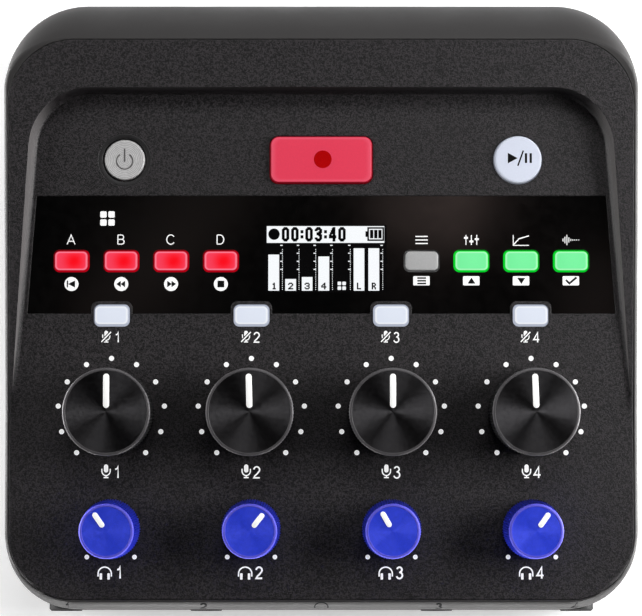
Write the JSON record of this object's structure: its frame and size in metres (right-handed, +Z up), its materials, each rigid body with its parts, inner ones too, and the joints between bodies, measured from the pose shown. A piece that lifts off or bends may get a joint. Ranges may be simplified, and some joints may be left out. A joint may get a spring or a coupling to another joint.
{
  "type": "podcast recorder",
  "caption": "Desktop audio recorder with a wedge-shaped case, an arch-shaped recess, a glossy display strip, mic level knobs, blue headphone level knobs, lit keys and a battery bay below.",
  "frame": {"origin": "middle of the case in plan, on the plane that the rubber feet stand on", "axes": "+Z up, +X to the user's right, -Y towards the user, +Y towards the mic sockets"},
  "size_m": [0.1535, 0.1473, 0.048],
  "materials": {
    "cover_textured_black": "fine spark-eroded grain",
    "case_satin_black": "smooth satin moulding",
    "contact_nickel": "nickel plated",
    "foot_rubber": "matt rubber",
    "screw_black_steel": "black zinc",
    "screw_zinc_steel": "bright zinc",
    "window_gloss_black": "polished clear plastic, printed black behind",
    "display_glass": "dark display glass",
    "holder_black": "plain moulding",
    "board_green": "solder mask over glass fibre board",
    "switch_black": "plain moulding",
    "pot_metal": "tinned steel",
    "socket_black": "smooth moulding",
    "socket_steel": "nickel plated",
    "record_red": "smooth satin moulding",
    "play_white": "smooth satin moulding",
    "power_grey": "smooth satin moulding",
    "pad_lit_red": "translucent, lit from below",
    "key_grey": "translucent, smooth",
    "key_lit_green": "translucent, lit from below",
    "key_lit_white": "translucent, lit from below",
    "knob_black": "spun-look cap, knurled side",
    "knob_blue": "spun-look cap, knurled side",
    "shaft_steel": "turned",
    "latch_steel": "satin nickel"
  },
  "bodies": {
    "case": {"top_cover": "cover_textured_black", "main_case": "case_satin_black", "bottom_cover": "case_satin_black", "battery_contacts": "contact_nickel", "rubber_feet": "foot_rubber", "case_screws": "screw_black_steel", "board_screws": "screw_zinc_steel", "window_lens": "window_gloss_black", "display_panel": "display_glass", "display_holder": "holder_black", "control_board": "board_green", "main_board": "board_green", "socket_board": "board_green", "tact_switches": "switch_black", "mic_pots": "pot_metal", "headphone_pots": "pot_metal", "xlr_shells": "socket_black", "xlr_inserts": "socket_black", "headphone_jacks": "socket_black", "side_jacks": "socket_black", "usb_socket": "socket_steel", "card_socket": "socket_steel"},
    "record_key": {"record_key": "record_red"},
    "play_key": {"play_key": "play_white"},
    "power_key": {"power_key": "power_grey"},
    "pad_a": {"pad_a": "pad_lit_red"},
    "pad_b": {"pad_b": "pad_lit_red"},
    "pad_c": {"pad_c": "pad_lit_red"},
    "pad_d": {"pad_d": "pad_lit_red"},
    "menu_key": {"menu_key": "key_grey"},
    "up_key": {"up_key": "key_lit_green"},
    "down_key": {"down_key": "key_lit_green"},
    "enter_key": {"enter_key": "key_lit_green"},
    "mute_key_1": {"mute_key_1": "key_lit_white"},
    "mute_key_2": {"mute_key_2": "key_lit_white"},
    "mute_key_3": {"mute_key_3": "key_lit_white"},
    "mute_key_4": {"mute_key_4": "key_lit_white"},
    "mic_knob_1": {"mic_knob_1": "knob_black", "mic_shaft_1": "shaft_steel"},
    "mic_knob_2": {"mic_knob_2": "knob_black", "mic_shaft_2": "shaft_steel"},
    "mic_knob_3": {"mic_knob_3": "knob_black", "mic_shaft_3": "shaft_steel"},
    "mic_knob_4": {"mic_knob_4": "knob_black", "mic_shaft_4": "shaft_steel"},
    "headphone_knob_1": {"headphone_knob_1": "knob_blue", "headphone_shaft_1": "shaft_steel"},
    "headphone_knob_2": {"headphone_knob_2": "knob_blue", "headphone_shaft_2": "shaft_steel"},
    "headphone_knob_3": {"headphone_knob_3": "knob_blue", "headphone_shaft_3": "shaft_steel"},
    "headphone_knob_4": {"headphone_knob_4": "knob_blue", "headphone_shaft_4": "shaft_steel"},
    "xlr_latch_1": {"xlr_latch_1": "latch_steel"},
    "xlr_latch_2": {"xlr_latch_2": "latch_steel"},
    "xlr_latch_3": {"xlr_latch_3": "latch_steel"},
    "xlr_latch_4": {"xlr_latch_4": "latch_steel"},
    "battery_door": {"battery_door": "case_satin_black"}
  },
  "joints": [
    {"name": "record_key_press", "type": "slide", "parent": "case", "child": "record_key", "axis": [0, 0.1045, -0.9945], "range_m": [0, 0.0008], "stiffness_N_per_m": 400, "springref_m": -0.0005},
    {"name": "play_key_press", "type": "slide", "parent": "case", "child": "play_key", "axis": [0, 0.1045, -0.9945], "range_m": [0, 0.0006], "stiffness_N_per_m": 400, "springref_m": -0.0005},
    {"name": "power_key_press", "type": "slide", "parent": "case", "child": "power_key", "axis": [0, 0.1045, -0.9945], "range_m": [0, 0.0006], "stiffness_N_per_m": 400, "springref_m": -0.0005},
    {"name": "pad_a_press", "type": "slide", "parent": "case", "child": "pad_a", "axis": [0, 0.1045, -0.9945], "range_m": [0, 0.0006], "stiffness_N_per_m": 400, "springref_m": -0.0005},
    {"name": "pad_b_press", "type": "slide", "parent": "case", "child": "pad_b", "axis": [0, 0.1045, -0.9945], "range_m": [0, 0.0006], "stiffness_N_per_m": 400, "springref_m": -0.0005},
    {"name": "pad_c_press", "type": "slide", "parent": "case", "child": "pad_c", "axis": [0, 0.1045, -0.9945], "range_m": [0, 0.0006], "stiffness_N_per_m": 400, "springref_m": -0.0005},
    {"name": "pad_d_press", "type": "slide", "parent": "case", "child": "pad_d", "axis": [0, 0.1045, -0.9945], "range_m": [0, 0.0006], "stiffness_N_per_m": 400, "springref_m": -0.0005},
    {"name": "menu_key_press", "type": "slide", "parent": "case", "child": "menu_key", "axis": [0, 0.1045, -0.9945], "range_m": [0, 0.0006], "stiffness_N_per_m": 400, "springref_m": -0.0005},
    {"name": "up_key_press", "type": "slide", "parent": "case", "child": "up_key", "axis": [0, 0.1045, -0.9945], "range_m": [0, 0.0006], "stiffness_N_per_m": 400, "springref_m": -0.0005},
    {"name": "down_key_press", "type": "slide", "parent": "case", "child": "down_key", "axis": [0, 0.1045, -0.9945], "range_m": [0, 0.0006], "stiffness_N_per_m": 400, "springref_m": -0.0005},
    {"name": "enter_key_press", "type": "slide", "parent": "case", "child": "enter_key", "axis": [0, 0.1045, -0.9945], "range_m": [0, 0.0006], "stiffness_N_per_m": 400, "springref_m": -0.0005},
    {"name": "mute_key_1_press", "type": "slide", "parent": "case", "child": "mute_key_1", "axis": [0, 0.1045, -0.9945], "range_m": [0, 0.0006], "stiffness_N_per_m": 400, "springref_m": -0.0005},
    {"name": "mute_key_2_press", "type": "slide", "parent": "case", "child": "mute_key_2", "axis": [0, 0.1045, -0.9945], "range_m": [0, 0.0006], "stiffness_N_per_m": 400, "springref_m": -0.0005},
    {"name": "mute_key_3_press", "type": "slide", "parent": "case", "child": "mute_key_3", "axis": [0, 0.1045, -0.9945], "range_m": [0, 0.0006], "stiffness_N_per_m": 400, "springref_m": -0.0005},
    {"name": "mute_key_4_press", "type": "slide", "parent": "case", "child": "mute_key_4", "axis": [0, 0.1045, -0.9945], "range_m": [0, 0.0006], "stiffness_N_per_m": 400, "springref_m": -0.0005},
    {"name": "mic_knob_1_turn", "type": "hinge", "parent": "case", "child": "mic_knob_1", "pos_m": [-0.05046, -0.0263, 0.0317], "axis": [0, -0.1045, 0.9945], "range_deg": [-140, 140]},
    {"name": "mic_knob_2_turn", "type": "hinge", "parent": "case", "child": "mic_knob_2", "pos_m": [-0.01682, -0.0263, 0.0317], "axis": [0, -0.1045, 0.9945], "range_deg": [-141.5, 138.5]},
    {"name": "mic_knob_3_turn", "type": "hinge", "parent": "case", "child": "mic_knob_3", "pos_m": [0.01682, -0.0263, 0.0317], "axis": [0, -0.1045, 0.9945], "range_deg": [-140, 140]},
    {"name": "mic_knob_4_turn", "type": "hinge", "parent": "case", "child": "mic_knob_4", "pos_m": [0.05046, -0.0263, 0.0317], "axis": [0, -0.1045, 0.9945], "range_deg": [-142, 138]},
    {"name": "headphone_knob_1_turn", "type": "hinge", "parent": "case", "child": "headphone_knob_1", "pos_m": [-0.05046, -0.05415, 0.02877], "axis": [0, -0.1045, 0.9945], "range_deg": [-171, 109]},
    {"name": "headphone_knob_2_turn", "type": "hinge", "parent": "case", "child": "headphone_knob_2", "pos_m": [-0.01682, -0.05415, 0.02877], "axis": [0, -0.1045, 0.9945], "range_deg": [-105, 175]},
    {"name": "headphone_knob_3_turn", "type": "hinge", "parent": "case", "child": "headphone_knob_3", "pos_m": [0.01682, -0.05415, 0.02877], "axis": [0, -0.1045, 0.9945], "range_deg": [-170, 110]},
    {"name": "headphone_knob_4_turn", "type": "hinge", "parent": "case", "child": "headphone_knob_4", "pos_m": [0.05046, -0.05415, 0.02877], "axis": [0, -0.1045, 0.9945], "range_deg": [-106, 174]},
    {"name": "xlr_latch_1_press", "type": "slide", "parent": "case", "child": "xlr_latch_1", "axis": [0, 0, -1], "range_m": [0, 0.0011], "stiffness_N_per_m": 800, "springref_m": -0.0005},
    {"name": "xlr_latch_2_press", "type": "slide", "parent": "case", "child": "xlr_latch_2", "axis": [0, 0, -1], "range_m": [0, 0.0011], "stiffness_N_per_m": 800, "springref_m": -0.0005},
    {"name": "xlr_latch_3_press", "type": "slide", "parent": "case", "child": "xlr_latch_3", "axis": [0, 0, -1], "range_m": [0, 0.0011], "stiffness_N_per_m": 800, "springref_m": -0.0005},
    {"name": "xlr_latch_4_press", "type": "slide", "parent": "case", "child": "xlr_latch_4", "axis": [0, 0, -1], "range_m": [0, 0.0011], "stiffness_N_per_m": 800, "springref_m": -0.0005},
    {"name": "battery_door_hinge", "type": "hinge", "parent": "case", "child": "battery_door", "pos_m": [0, -0.02, 0.0027], "axis": [-1, 0, 0], "range_deg": [0, 95]}
  ]
}
